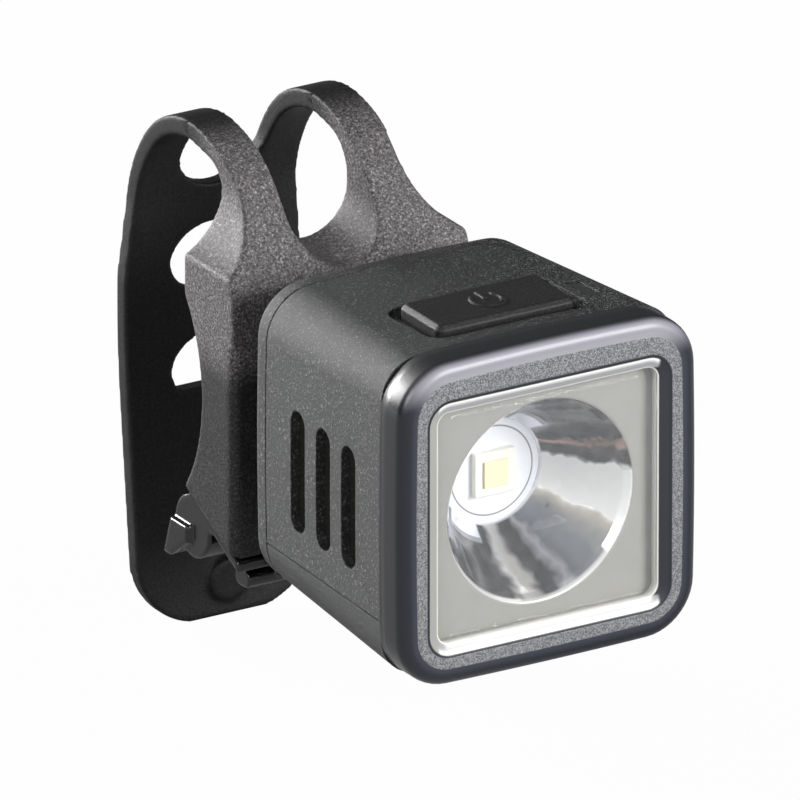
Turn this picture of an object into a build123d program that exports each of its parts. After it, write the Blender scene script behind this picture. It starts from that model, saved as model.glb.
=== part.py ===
from build123d import *
import math
import os

# Compact rechargeable bike headlight on a rubber handlebar strap, in millimetres.
# +Z is up, the beam leaves along -Y, and the origin is the handlebar's axis.
# The pieces are first laid out from the reflector's face (Y 0) and the beam axis (Z 0).

# Handlebar
bar_diameter = 31.8
bar_drop = 1.0
saddle_slack = 1.1

# Clearances that every fit is drawn from
overrun = 5.0
seam_gap = 0.16
push_fit = 0.1
slide_fit = 0.3
running_fit = 0.05

# Lens cap
lens_width = 33.0
lens_top = 17.0
lens_bottom = 16.1
lens_corner = 5.2
lens_proud = 1.8
lens_skirt_depth = 2.4
lens_skirt_wall = 1.85
lens_front_wall = 1.4
lens_edge_radius = 1.2
window_side_margin = 4.4
window_end_margin = 4.85
window_width = lens_width - 2 * window_side_margin
window_height = lens_top + lens_bottom - 2 * window_end_margin
window_corner = 1.2
window_sink = 0.45

# Housing barrel
body_step = 0.3
body_corner = 4.0
barrel_length = 22.6
housing_wall = 1.6
rear_width = 30.2
rear_top = 15.6
rear_bottom = 15.0
rear_corner = 5.2
side_bow = 0.25
top_bow = 0.4
bottom_bow = 0.2
parting_drop = 10.0
corner_post_length = 6.0
corner_post_edge = 9.9

# Front frame and lens seal
frame_front_gap = 0.5
frame_bulkhead = 1.0
seal_thickness = 0.5
seal_width = 1.1
seal_edge_gap = 0.3

# Reflector
plate_margin = 0.6
plate_thickness = 1.2
mouth_margin = 2.1
mouth_radius = window_width / 2 - mouth_margin
mouth_rounding = 0.4
bowl_depth = 8.9
bowl_base_radius = 4.7
bowl_wall = 0.8

# Light source
led_board_radius = 8.0
led_board_thickness = 1.0
led_package_width = 4.4
led_package_height = 0.7
led_phosphor_width = 2.6
led_phosphor_height = 0.25
heat_sink_width = 22.4
heat_sink_top = 8.8
heat_sink_bottom = 8.4
heat_sink_thickness = 1.6
sink_post_radius = 1.3
sink_post_x = 9.8
sink_post_z = 7.0
sink_screw_radius = 0.6
sink_screw_head_radius = 1.2
sink_screw_head_height = 0.7
sink_screw_bite = 4.0

# Main board and switch
board_height = 10.7
board_thickness = 1.0
board_width = 23.0
switch_width = 5.2
switch_floor = 0.1
plunger_radius = 1.4
plunger_length = 0.75

# Power button
button_width = 15.2
button_length = 7.5
button_centre_y = 9.65
button_proud = 0.75
button_bevel = 0.45
button_corner = 0.8
button_travel = 0.4
button_flange = 0.8
button_flange_thickness = 0.8
button_gap = 0.2
recess_margin = 1.2
recess_depth = 0.7
icon_radius = 1.75
icon_line = 0.45
icon_height = 0.2
icon_gap_angle = 70.0

# Status light
indicator_x = 10.5
indicator_length = 4.4
indicator_width = 1.3
indicator_sink = 0.12
status_led_width = 1.6
status_led_height = 0.7

# Side windows
slot_count = 3
slot_width = 2.8
slot_height = 12.4
slot_pitch = 5.0
slot_centre_y = 13.7
slot_drop = 0.4
slot_sink = 0.9
side_plate_thickness = 0.8
side_plate_margin = 0.9

# Battery
battery_width = 18.4
battery_length = 10.0
battery_height = 17.4
battery_lift = 0.4
battery_corner = 1.4
battery_gap = 0.6
pad_width = 13.0
pad_height = 12.0
lead_radius = 0.5
battery_lead_x = 2.2
led_lead_x = 3.0

# Charging port
charge_board_width = 22.6
charge_board_thickness = 0.8
charge_board_front = 8.2
charge_board_length = 10.6
port_y = 11.6
socket_width = 7.6
socket_length = 2.8
socket_wall = 0.25
socket_height = 4.1
port_block_margin = 1.6
flex_width = 4.0
flex_thickness = 0.3

# Port cover
flap_width = 11.4
flap_front = 8.9
flap_length = 9.2
flap_thickness = 1.3
flap_pocket_depth = 1.5
flap_bead_radius = 0.75
plug_width = 6.2
plug_length = 1.35
plug_depth = 0.9

# Rear cap with its T rail
cap_thickness = 2.6
cap_edge_radius = 1.2
cap_screw_x = 11.8
cap_screw_z = 11.8
cap_screw_radius = 0.75
cap_screw_head_radius = 1.4
cap_screw_head_height = 0.9
cap_screw_bite = 4.5
rail_neck_width = 8.0
rail_width = 12.8
rail_neck_depth = 1.7
rail_depth = 1.9
rail_top = 8.0
rail_bottom = 7.0
notch_height = 2.2
notch_depth = 0.8
notch_drop = 3.9

# Quick-release bracket
bracket_gap = 0.4
bracket_width = 19.0
bracket_top = 9.0
bracket_bottom = 10.0
bracket_depth = 6.5
bracket_rounding = 1.0
bracket_back_web = 0.4
ear_thickness = 1.3
ear_depth = 4.2
ear_drop = 4.2

# Release latch and its pin
pin_radius = 0.75
pin_drop = 2.2
pin_inset = 2.1
hub_radius = 1.6
latch_arm_width = 6.0
latch_arm_thickness = 1.2
latch_nose_height = 1.4
latch_nose_reach = 1.2
tab_width = 22.0
tab_length = 2.6
tab_back_reach = 2.9
tab_top_drop = 5.3
tab_height = 1.8
tab_rounding = 0.8
tab_web_thickness = 2.2
rib_count = 3
rib_pitch = 1.0
rib_radius = 0.3
first_rib_drop = 2.7

# Saddle of the rubber strap
saddle_width = 26.4
seat_thickness = 6.0
saddle_top = 11.5
saddle_bottom = 11.0
saddle_skirt_drop = 4.6
saddle_rounding = 1.0
saddle_top_length = 9.1

# Strap band that rises from the saddle, arches over and hangs behind
band_thickness = 1.9
band_start_drop = 5.5
band_foot_rise = 0.5
band_foot_radius = 3.0
band_rise_length = 8.3
band_rise_height = 10.2
band_rise_radius = 12.5
band_top_length = 11.6
band_top_rise = 2.6
band_crest_radius = 10.6
band_turn_length = 7.0
band_turn_drop = 10.0
band_turn_radius = 16.0
band_fall_length = 1.0
band_fall_height = 15.8
band_back_radius = 100.0
band_tail_length = 3.1
band_tail_height = 31.0
arm_outer = 9.0
arm_inner = 4.8
arm_gap_drop = 0.5
arm_flare_lift = 1.4
arm_flare_rise = 8.4
arm_flare_sag_share = 0.28
arm_root_radius = 4.0

# Ladder at the end of the strap
ladder_width = 19.6
ladder_shoulder = 8.0
ladder_corner = 7.0
hole_width = 9.3
hole_height = 7.1
hole_pitch = 11.3
hole_count = 2
first_hole_z = 4.4
tooth_half_width = 3.8
tooth_edge = 0.4
tooth_height = 1.2
tooth_stem_half_width = 2.5
tooth_drop = 1.9
grip_radius = 2.2
grip_height = 0.8
grip_lift = 3.9

# Strap hook
hook_plate_width = 16.8
hook_plate_thickness = 1.5
hook_plate_top = 9.0
hook_floor_thickness = 1.1
hook_floor_gap = 0.3
cheek_thickness = 3.0
cheek_front = 2.9
cheek_radius = 3.2
cheek_back = 8.5
cheek_drop = 3.7
lip_height = 4.0
lip_thickness = 1.3
lip_flare = 0.6
tongue_width = 8.4
tongue_thickness = 1.6
tongue_back = 5.6
tongue_drop = 4.0
tongue_reach = 1.5
mount_screw_radius = 1.2
mount_screw_x = 4.2
mount_screw_z = 4.0
mount_screw_head_radius = 2.4
mount_screw_head_height = 1.3

# Stations along the light, from the lens back to the bar
lens_front_y = -lens_proud
seam_y = lens_skirt_depth
cap_joint_y = seam_y + barrel_length
head_back_y = cap_joint_y + cap_thickness
bracket_front_y = head_back_y + bracket_gap
saddle_front_y = bracket_front_y + bracket_depth
seat_y = saddle_front_y + seat_thickness
bar_y = seat_y + bar_diameter / 2
bar_z = -bar_drop
board_y0 = seam_y + frame_bulkhead
board_top_z = board_height + board_thickness
led_board_y = bowl_depth
heat_sink_y = led_board_y + led_board_thickness
battery_y0 = heat_sink_y + heat_sink_thickness + sink_screw_head_height + battery_gap
charge_board_z = -parting_drop
pin_y = saddle_front_y - pin_inset
pin_z = -bracket_bottom - pin_drop
flap_hinge_y = flap_front + flap_length - flap_thickness / 2
hook_top_z = -saddle_bottom - hook_floor_gap


def block(x0, x1, y0, y1, z0, z1):
    """Box between two corners."""
    centre = Pos((x0 + x1) / 2, (y0 + y1) / 2, (z0 + z1) / 2)
    return centre * Box(x1 - x0, y1 - y0, z1 - z0)


def rod_y(radius, y0, y1, x=0, z=0):
    """Cylinder along Y."""
    return Pos(x, (y0 + y1) / 2, z) * Rot(90, 0, 0) * Cylinder(radius, y1 - y0)


def rod_x(radius, x0, x1, y, z):
    """Cylinder along X."""
    return Pos((x0 + x1) / 2, y, z) * Rot(0, 90, 0) * Cylinder(radius, x1 - x0)


def rod_z(radius, z0, z1, x=0, y=0):
    """Cylinder along Z."""
    return Pos(x, y, (z0 + z1) / 2) * Cylinder(radius, z1 - z0)


def facing_front(y):
    """Plane square to the beam, with X across and Z up."""
    return Plane(origin=(0, y, 0), x_dir=(1, 0, 0), z_dir=(0, -1, 0))


def side_slab(outline, x0, x1):
    """Solid with an outline drawn in Y and Z, between two places along X."""
    plane = Plane(origin=(x0, 0, 0), x_dir=(0, 1, 0), z_dir=(1, 0, 0))
    return extrude(plane * outline, x1 - x0)


def bowed_section(half_width, top, bottom, corner, y):
    """Rounded square with slightly bowed sides, square to the beam."""
    x = half_width - side_bow
    z1 = top - top_bow
    z0 = bottom_bow - bottom
    middle = (z0 + z1) / 2
    sides = [
        ThreePointArc((-x, z1), (0, top), (x, z1)),
        ThreePointArc((x, z1), (half_width, middle), (x, z0)),
        ThreePointArc((x, z0), (0, -bottom), (-x, z0)),
        ThreePointArc((-x, z0), (-half_width, middle), (-x, z1)),
    ]
    face = make_face(sides)
    return facing_front(y) * fillet(face.vertices(), corner)


def lens_solid(inset, y0, y1):
    """Straight length of the lens's outline, drawn in by an inset."""
    face = bowed_section(
        lens_width / 2 - inset, lens_top - inset, lens_bottom - inset, lens_corner - inset, y0
    )
    return extrude(face, y1 - y0, dir=(0, 1, 0))


def body_section(inset, y):
    """Outline of the tapered housing at one station, drawn in by an inset."""
    along = (y - seam_y) / (head_back_y - seam_y)
    front = [lens_width / 2 - body_step, lens_top - body_step, lens_bottom - body_step, body_corner]
    rear = [rear_width / 2, rear_top, rear_bottom, rear_corner]
    half_width, top, bottom, corner = [a + (b - a) * along - inset for a, b in zip(front, rear)]
    return bowed_section(half_width, top, bottom, corner, y)


def body_solid(inset, y0, y1):
    """Length of the tapered housing, drawn in by an inset."""
    return loft([body_section(inset, y0), body_section(inset, y1)], ruled=True)


def body_skin(outer_inset, inner_inset, y0, y1):
    """Layer of the housing's wall between two insets."""
    return body_solid(outer_inset, y0, y1) - body_solid(inner_inset, y0, y1)


def mirrored(solid):
    """A solid and its mirror image across the middle of the light."""
    return [solid, mirror(solid, Plane.YZ)]


def body_top_z(y):
    """Height of the housing's top at its middle."""
    along = (y - seam_y) / (head_back_y - seam_y)
    return lens_top - body_step + (rear_top - lens_top + body_step) * along


def make_lens():
    """Clear cap with a sunk window and a skirt round the front frame."""
    outer = lens_solid(0, lens_front_y, seam_y - seam_gap)
    front_edges = outer.faces().sort_by(Axis.Y)[0].edges()
    outer = fillet(front_edges, lens_edge_radius)
    pocket = lens_solid(lens_skirt_wall, lens_front_y + lens_front_wall, seam_y)
    mouth = RectangleRounded(
        window_width + 2 * window_sink, window_height + 2 * window_sink, window_corner + window_sink
    )
    floor = RectangleRounded(window_width, window_height, window_corner)
    window = loft(
        [facing_front(lens_front_y) * mouth, facing_front(lens_front_y + window_sink) * floor],
        ruled=True,
    )
    return outer - pocket - window


def front_frame(growth, y0, y1):
    """Outer block of the front frame that the lens skirt slides over."""
    return lens_solid(lens_skirt_wall + push_fit - growth, y0, y1)


def make_seal():
    """Flat rubber ring squeezed between the frame and the lens."""
    y1 = lens_front_y + lens_front_wall + seal_thickness
    outer_inset = lens_skirt_wall + push_fit + seal_edge_gap
    ring = lens_solid(outer_inset, y1 - seal_thickness, y1)
    return ring - lens_solid(outer_inset + seal_width, y1 - seal_thickness, y1)


def reflector_plate(growth, y0, y1):
    """Square flange of the reflector."""
    outline = RectangleRounded(
        window_width + 2 * (plate_margin + growth),
        window_height + 2 * (plate_margin + growth),
        window_corner + growth,
    )
    return extrude(facing_front(y0) * outline, y1 - y0, dir=(0, 1, 0))


def bowl_curve(growth):
    """Parabola from the mouth to the base, as one quadratic Bezier."""
    mouth = mouth_radius + growth
    base = bowl_base_radius + growth
    bend = mouth * bowl_depth / (mouth + base)
    return Bezier((mouth, 0), ((mouth + base) / 2, bend), (base, bowl_depth))


def bowl_solid(growth):
    """Solid inside the parabola."""
    mouth = mouth_radius + growth
    base = bowl_base_radius + growth
    sides = Polyline((base, bowl_depth), (0, bowl_depth), (0, 0), (mouth, 0))
    return revolve(make_face([bowl_curve(growth), *sides.edges()]), Axis.Y)


def make_reflector():
    """Satin flange and polished bowl in one metallised moulding."""
    solid = reflector_plate(0, 0, plate_thickness) + bowl_solid(bowl_wall)
    solid = solid - bowl_solid(0)
    rim = solid.edges().filter_by(GeomType.CIRCLE).sort_by(Axis.Y)
    mouth_edge = [edge for edge in rim if abs(edge.radius - mouth_radius) < running_fit]
    return fillet(mouth_edge, mouth_rounding)


def slot_places():
    """Stations of the upright slots in each side."""
    first = slot_centre_y - slot_pitch * (slot_count - 1) / 2
    return [first + slot_pitch * index for index in range(slot_count)]


def side_slots(growth):
    """Round-ended prisms that cut the slots through both sides."""
    reach = lens_width
    slots = []
    for y in slot_places():
        outline = SlotOverall(slot_height + 2 * growth, slot_width + 2 * growth, rotation=90)
        slots.append(side_slab(Pos(y, -slot_drop) * outline, -reach, reach))
    return slots


def button_outline(growth):
    """Rounded rectangle of the button, seen from above."""
    outline = RectangleRounded(
        button_width + 2 * growth, button_length + 2 * growth, button_corner + growth
    )
    return Pos(0, button_centre_y) * outline


def upright(outline, z0, z1):
    """Prism with an outline drawn in X and Y."""
    return extrude(Pos(0, 0, z0) * outline, z1 - z0)


def indicator_outline(growth):
    """Long oval of the status light, seen from above."""
    outline = SlotOverall(indicator_length + 2 * growth, indicator_width + 2 * growth, rotation=90)
    return Pos(indicator_x, button_centre_y) * outline


def sink_post_places():
    """X and Z of the four posts that carry the heat sink."""
    return [(x, z) for x in (-sink_post_x, sink_post_x) for z in (-sink_post_z, sink_post_z)]


def corner_post(top):
    """Screw post in one right-hand corner of the housing."""
    y0 = cap_joint_y - corner_post_length
    if top:
        z0, z1 = corner_post_edge, lens_width
    else:
        z0, z1 = -lens_width, -parting_drop - seam_gap
    corner = block(corner_post_edge, lens_width, y0, cap_joint_y, z0, z1)
    return corner & body_solid(housing_wall / 2, y0, cap_joint_y)


def make_housing():
    """Upper shell, with the front frame, bulkhead, button well and slots."""
    above = block(-lens_width, lens_width, 0, head_back_y, -parting_drop + seam_gap, lens_width)
    shell = body_skin(0, housing_wall, seam_y, cap_joint_y) & above
    bulkhead_y = seam_y + frame_bulkhead
    shell = shell + (body_solid(housing_wall / 2, seam_y, bulkhead_y) & above)
    frame_y = lens_front_y + lens_front_wall + frame_front_gap
    shell = shell + front_frame(0, frame_y, bulkhead_y)
    shell = shell - reflector_plate(push_fit, frame_y, plate_thickness)
    shell = shell - rod_y(mouth_radius + bowl_wall + slide_fit, frame_y, bulkhead_y)
    top_z = body_top_z(button_centre_y)
    recess = upright(button_outline(recess_margin), top_z - recess_depth, top_z + overrun)
    well = upright(button_outline(button_gap), board_top_z, top_z)
    slit = upright(indicator_outline(push_fit), board_top_z, top_z + overrun)
    shell = shell - recess - well - slit
    for slot in side_slots(0):
        shell = shell - slot
    for post in mirrored(corner_post(True)):
        shell = shell + post
    for x in (-cap_screw_x, cap_screw_x):
        hole_y = cap_joint_y - cap_screw_bite - slide_fit
        shell = shell - rod_y(cap_screw_radius, hole_y, cap_joint_y, x, cap_screw_z)
    for x, z in sink_post_places():
        shell = shell + rod_y(sink_post_radius, seam_y, heat_sink_y, x, z)
        hole_y = heat_sink_y - sink_screw_bite - slide_fit
        shell = shell - rod_y(sink_screw_radius, hole_y, heat_sink_y, x, z)
    return shell - bowl_solid(bowl_wall + push_fit)


def port_block():
    """Thick pad round the charging port, up to the charging board."""
    half = socket_width / 2 + port_block_margin
    y0 = charge_board_front + push_fit
    y1 = y0 + charge_board_length - 2 * push_fit
    pad = block(-half, half, y0, y1, -lens_width, charge_board_z)
    return pad & body_solid(housing_wall / 2, seam_y, cap_joint_y)


def flap_zone(growth):
    """Upright prism over the port cover."""
    y0 = flap_front - growth
    y1 = flap_front + flap_length + growth
    half = flap_width / 2 + growth
    return block(-half, half, y0, y1, -lens_width, 0)


def make_bottom_cover():
    """Lower shell, with the port pad, its pocket and two screw posts."""
    below = block(-lens_width, lens_width, 0, head_back_y, -lens_width, -parting_drop)
    shell = body_skin(0, housing_wall, seam_y, cap_joint_y) & below
    shell = shell - front_frame(push_fit, 0, seam_y + frame_bulkhead + push_fit)
    shell = shell + port_block()
    pocket = body_skin(-overrun, flap_pocket_depth, seam_y, cap_joint_y) & flap_zone(slide_fit)
    shell = shell - pocket
    half = socket_width / 2 + push_fit
    length = socket_length / 2 + push_fit
    shell = shell - block(-half, half, port_y - length, port_y + length, -lens_width, charge_board_z)
    for post in mirrored(corner_post(False)):
        shell = shell + post
    for x in (-cap_screw_x, cap_screw_x):
        hole_y = cap_joint_y - cap_screw_bite - slide_fit
        shell = shell - rod_y(cap_screw_radius, hole_y, cap_joint_y, x, -cap_screw_z)
    return shell


def cap_screw_places():
    """X and Z of the four screws in the rear cap."""
    return [(x, z) for x in (-cap_screw_x, cap_screw_x) for z in (-cap_screw_z, cap_screw_z)]


def make_rear_cap():
    """End cap with the T rail that drops into the bracket."""
    cap = body_solid(0, cap_joint_y + seam_gap, head_back_y)
    back_edges = cap.faces().sort_by(Axis.Y)[-1].edges()
    cap = fillet(back_edges, cap_edge_radius)
    neck_y = head_back_y + rail_neck_depth
    rail_y = neck_y + rail_depth
    half_neck = rail_neck_width / 2
    half_rail = rail_width / 2
    cap = cap + block(-half_neck, half_neck, head_back_y, rail_y, -rail_bottom, rail_top)
    cap = cap + block(-half_rail, half_rail, neck_y, rail_y, -rail_bottom, rail_top)
    half_notch = latch_arm_width / 2 + slide_fit
    z1 = -notch_drop + notch_height / 2
    notch = block(-half_notch, half_notch, rail_y - notch_depth, rail_y, z1 - notch_height, z1)
    cap = cap - notch
    for x, z in cap_screw_places():
        cap = cap - rod_y(cap_screw_radius + push_fit, cap_joint_y, head_back_y, x, z)
        head_y = head_back_y - cap_screw_head_height - slide_fit
        cap = cap - rod_y(cap_screw_head_radius + push_fit, head_y, head_back_y, x, z)
    return cap


def pan_screw(radius, head_radius, head_height, head_y, length, x, z):
    """Screw along Y, its head towards +Y, with a cross recess."""
    screw = rod_y(radius, head_y - length, head_y, x, z)
    screw = screw + rod_y(head_radius, head_y, head_y + head_height, x, z)
    arm = head_radius * 2 / 3
    slot = radius / 4
    top_y = head_y + head_height
    for half_x, half_z in ((arm, slot), (slot, arm)):
        cut = block(x - half_x, x + half_x, top_y - head_height / 2, top_y, z - half_z, z + half_z)
        screw = screw - cut
    return screw


def make_cap_screws():
    """Four screws through the rear cap."""
    head_y = head_back_y - cap_screw_head_height - slide_fit
    length = head_y - cap_joint_y + cap_screw_bite
    return [
        pan_screw(
            cap_screw_radius, cap_screw_head_radius, cap_screw_head_height, head_y, length, x, z
        )
        for x, z in cap_screw_places()
    ]


def make_power_button():
    """Rubber key with a bevelled top, a holding flange and a raised power symbol."""
    top_z = body_top_z(button_centre_y) + button_proud
    flange_z = button_foot_z() + button_flange_thickness
    key = upright(button_outline(0), flange_z, top_z)
    key = chamfer(key.faces().sort_by(Axis.Z)[-1].edges(), button_bevel)
    foot_z = flange_z - button_flange_thickness
    key = key + upright(button_outline(button_flange), foot_z, flange_z)
    ring = Circle(icon_radius) - Circle(icon_radius - icon_line)
    half_gap = icon_radius * math.sin(math.radians(icon_gap_angle / 2))
    opening = Pos(0, icon_radius) * Rectangle(2 * half_gap, 2 * icon_radius)
    stroke = Pos(0, icon_radius * 2 / 3) * Rectangle(icon_line, icon_radius)
    icon = Pos(0, button_centre_y) * ((ring - opening) + stroke)
    return key + upright(icon, top_z, top_z + icon_height)


def button_foot_z():
    """Underside of the key's flange."""
    return body_top_z(cap_joint_y) - housing_wall - slide_fit - button_flange_thickness


def make_switch():
    """Tactile switch's case, with the bore that its plunger slides in."""
    half = switch_width / 2
    y0 = button_centre_y - half
    z1 = button_foot_z() - button_travel - running_fit
    case = block(-half, half, y0, y0 + switch_width, board_top_z, z1)
    bore = rod_z(plunger_radius + running_fit, board_top_z + switch_floor, z1, 0, button_centre_y)
    return case - bore


def make_plunger():
    """Plunger that the key pushes down."""
    z1 = button_foot_z()
    return rod_z(plunger_radius, z1 - plunger_length, z1, 0, button_centre_y)


def make_side_window(left):
    """Smoked insert: a plate behind the wall, with pads that stand in the slots."""
    half_span = slot_pitch * (slot_count - 1) / 2 + slot_width / 2 + side_plate_margin
    half_height = slot_height / 2 + side_plate_margin
    zone = block(
        0, lens_width, slot_centre_y - half_span, slot_centre_y + half_span,
        -slot_drop - half_height, -slot_drop + half_height,
    )
    inner = housing_wall + push_fit
    plate = body_skin(inner, inner + side_plate_thickness, seam_y, cap_joint_y) & zone
    pads = body_skin(slot_sink, inner + side_plate_thickness / 2, seam_y, cap_joint_y) & zone
    for slot in side_slots(-push_fit):
        plate = plate + (pads & slot)
    return mirror(plate, Plane.YZ) if left else plate


def make_battery():
    """Pouch cell between the heat sink and the rear cap."""
    half = battery_width / 2
    z0 = battery_lift - battery_height / 2
    cell = block(
        -half, half, battery_y0, battery_y0 + battery_length, z0, z0 + battery_height
    )
    return fillet(cell.edges().filter_by(Axis.Y), battery_corner)


def make_pad(y0, y1):
    """Foam pad against one side of the cell."""
    return block(-pad_width / 2, pad_width / 2, y0, y1, -pad_height / 2, pad_height / 2)


def make_socket():
    """Folded steel shell of the charging socket, open downwards."""
    half = socket_width / 2
    length = socket_length / 2
    z0 = charge_board_z - socket_height
    shell = block(-half, half, port_y - length, port_y + length, z0, charge_board_z)
    wall = socket_wall
    cavity = block(
        -half + wall, half - wall, port_y - length + wall, port_y + length - wall,
        z0, charge_board_z - wall,
    )
    tongue_half = half - 4 * wall
    tongue = block(
        -tongue_half, tongue_half, port_y - wall, port_y + wall,
        z0 + plug_depth + slide_fit, charge_board_z,
    )
    return shell - cavity + tongue


def flap_outer_z(y):
    """Height of the housing's underside at its middle."""
    along = (y - seam_y) / (head_back_y - seam_y)
    return body_step - lens_bottom + (lens_bottom - body_step - rear_bottom) * along


def flap_hinge_z():
    """Hinge line, at the middle of the flap's thickness."""
    return flap_outer_z(flap_hinge_y) + flap_thickness / 2


def make_port_cover():
    """Rubber flap with a plug for the socket and a rounded hinge edge."""
    half = flap_width / 2
    front_z = flap_outer_z(flap_front)
    hinge_z = flap_outer_z(flap_hinge_y)
    corners = [
        (flap_front, front_z), (flap_hinge_y, hinge_z), (flap_hinge_y, hinge_z + flap_thickness),
        (flap_front, front_z + flap_thickness),
    ]
    leaf = side_slab(make_face(Polyline(*corners, close=True).edges()), -half, half)
    bead = rod_x(flap_bead_radius, -half, half, flap_hinge_y, flap_hinge_z())
    z0 = flap_outer_z(port_y) + flap_thickness / 2
    z1 = flap_outer_z(port_y) + flap_pocket_depth + plug_depth
    y0 = port_y - plug_length / 2
    plug = block(-plug_width / 2, plug_width / 2, y0, y0 + plug_length, z0, z1)
    return leaf + bead + plug


def make_bracket():
    """Hard base: a channel for the head's rail, ears for the latch pin."""
    half = bracket_width / 2
    base = block(-half, half, bracket_front_y, saddle_front_y, -bracket_bottom, bracket_top)
    base = fillet(base.edges().filter_by(Axis.Y), bracket_rounding)
    neck_y = head_back_y + rail_neck_depth - slide_fit
    rail_y = head_back_y + rail_neck_depth + rail_depth + slide_fit
    half_neck = rail_neck_width / 2 + slide_fit
    half_rail = rail_width / 2 + slide_fit
    z0 = -rail_bottom - slide_fit
    base = base - block(-half_neck, half_neck, bracket_front_y, rail_y, z0, bracket_top)
    base = base - block(-half_rail, half_rail, neck_y, rail_y, z0, bracket_top)
    half_arm = latch_arm_width / 2 + slide_fit
    slot_top = -notch_drop + notch_height / 2 + slide_fit
    base = base - block(
        -half_arm, half_arm, rail_y, saddle_front_y - bracket_back_web, -bracket_bottom, slot_top
    )
    for x in (-mount_screw_x, mount_screw_x):
        base = base - rod_y(mount_screw_radius, rail_y, saddle_front_y, x, mount_screw_z)
    ear_z = -bracket_bottom - ear_drop
    ear_top = bracket_rounding - bracket_bottom
    ear = block(half - ear_thickness, half, saddle_front_y - ear_depth, saddle_front_y, ear_z, ear_top)
    ear = fillet(ear.edges().filter_by(Axis.X).group_by(Axis.Z)[0], bracket_rounding)
    for piece in mirrored(ear):
        base = base + piece
    return base - rod_x(pin_radius, -half, half, pin_y, pin_z)


def make_latch_pin():
    """Steel pin across the two ears."""
    half = bracket_width / 2
    return rod_x(pin_radius, -half, half, pin_y, pin_z)


def make_latch():
    """Thumb lever: ribbed tab below the pin, hooked arm above it."""
    half_hub = bracket_width / 2 - ear_thickness - slide_fit
    hub = rod_x(hub_radius, -half_hub, half_hub, pin_y, pin_z)
    arm_y = head_back_y + rail_neck_depth + rail_depth + 2 * slide_fit
    half_arm = latch_arm_width / 2
    nose_z = -notch_drop + latch_nose_height / 2
    arm = block(-half_arm, half_arm, arm_y, arm_y + latch_arm_thickness, pin_z, nose_z)
    nose = block(
        -half_arm, half_arm, arm_y - latch_nose_reach, arm_y, nose_z - latch_nose_height, nose_z
    )
    tab_y = pin_y + tab_back_reach
    tab_z = pin_z - tab_top_drop
    half_tab = tab_width / 2
    tab = block(-half_tab, half_tab, tab_y, tab_y + tab_length, tab_z - tab_height, tab_z)
    tab = fillet(tab.edges().filter_by(Axis.X), tab_rounding)
    half_web = tab_web_thickness / 2
    web_y = pin_y - half_web
    web = block(-half_hub, half_hub, web_y, pin_y + half_web, tab_z - tab_rounding, pin_z)
    foot = block(-half_hub, half_hub, web_y, tab_y + tab_rounding, tab_z - tab_rounding, tab_z)
    lever = hub + arm + nose + tab + web + foot
    for index in range(rib_count):
        rib_z = pin_z - first_rib_drop - rib_pitch * index
        lever = lever + rod_x(rib_radius, -half_hub, half_hub, web_y, rib_z)
    return lever - rod_x(pin_radius + running_fit, -half_hub, half_hub, pin_y, pin_z)


def band_points():
    """Outer line of the strap band, as the corners of its tangents."""
    points = [(saddle_front_y, saddle_top - band_start_drop)]
    steps = [
        (0, band_start_drop + band_foot_rise),
        (band_rise_length, band_rise_height),
        (band_top_length, band_top_rise),
        (band_turn_length, -band_turn_drop),
        (band_fall_length, -band_fall_height),
        (-band_tail_length, -band_tail_height),
    ]
    for step_y, step_z in steps:
        points.append((points[-1][0] + step_y, points[-1][1] + step_z))
    return points


def inside_corners(points, depth):
    """The same corners on a line that runs a depth to the right of the first."""
    normals = []
    for (y0, z0), (y1, z1) in zip(points, points[1:]):
        length = math.hypot(y1 - y0, z1 - z0)
        normals.append(((z1 - z0) / length, (y0 - y1) / length))
    corners = []
    last = len(points) - 1
    for index, (y, z) in enumerate(points):
        before = normals[max(index - 1, 0)]
        after = normals[min(index, last - 1)]
        spread = 1 + before[0] * after[0] + before[1] * after[1]
        scale = depth / spread
        corners.append((y + (before[0] + after[0]) * scale, z + (before[1] + after[1]) * scale))
    return corners


def arm_root():
    """Line at the back of the deep foot of the arms, up to the band's underside."""
    corners = inside_corners(band_points(), band_thickness)
    (y0, z0), (y1, z1) = corners[2:4]
    root_y = saddle_front_y + saddle_top_length
    root_z = z0 + (root_y - y0) * (z1 - z0) / (y1 - y0)
    return [(root_y, band_points()[0][1]), (root_y, root_z), *corners[3:]]


def make_band():
    """Full-width band before the arms are cut out of it, deep at its foot."""
    outer = band_points()
    bends = [band_crest_radius, band_turn_radius, band_back_radius]
    outer_line = FilletPolyline(*outer, radius=[band_foot_radius, band_rise_radius, *bends])
    inner = arm_root()
    inner_radii = [arm_root_radius, *[radius - band_thickness for radius in bends]]
    inner_line = FilletPolyline(*inner, radius=inner_radii)
    ends = [Line(outer[0], inner[0]), Line(outer[-1], inner[-1])]
    outline = make_face([*outer_line.edges(), *inner_line.edges(), *ends])
    return side_slab(outline, -saddle_width / 2, saddle_width / 2)


def crest():
    """Top of the band's arch on its outer line, where the strap bends."""
    before, corner, after = band_points()[2:5]
    arms = []
    for y, z in (before, after):
        length = math.hypot(y - corner[0], z - corner[1])
        arms.append(((y - corner[0]) / length, (z - corner[1]) / length))
    half_angle = math.acos(arms[0][0] * arms[1][0] + arms[0][1] * arms[1][1]) / 2
    away = band_crest_radius / math.sin(half_angle)
    middle_y = arms[0][0] + arms[1][0]
    middle_z = arms[0][1] + arms[1][1]
    length = math.hypot(middle_y, middle_z)
    centre_y = corner[0] + away * middle_y / length
    centre_z = corner[1] + away * middle_z / length
    return centre_y, centre_z + band_crest_radius


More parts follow.
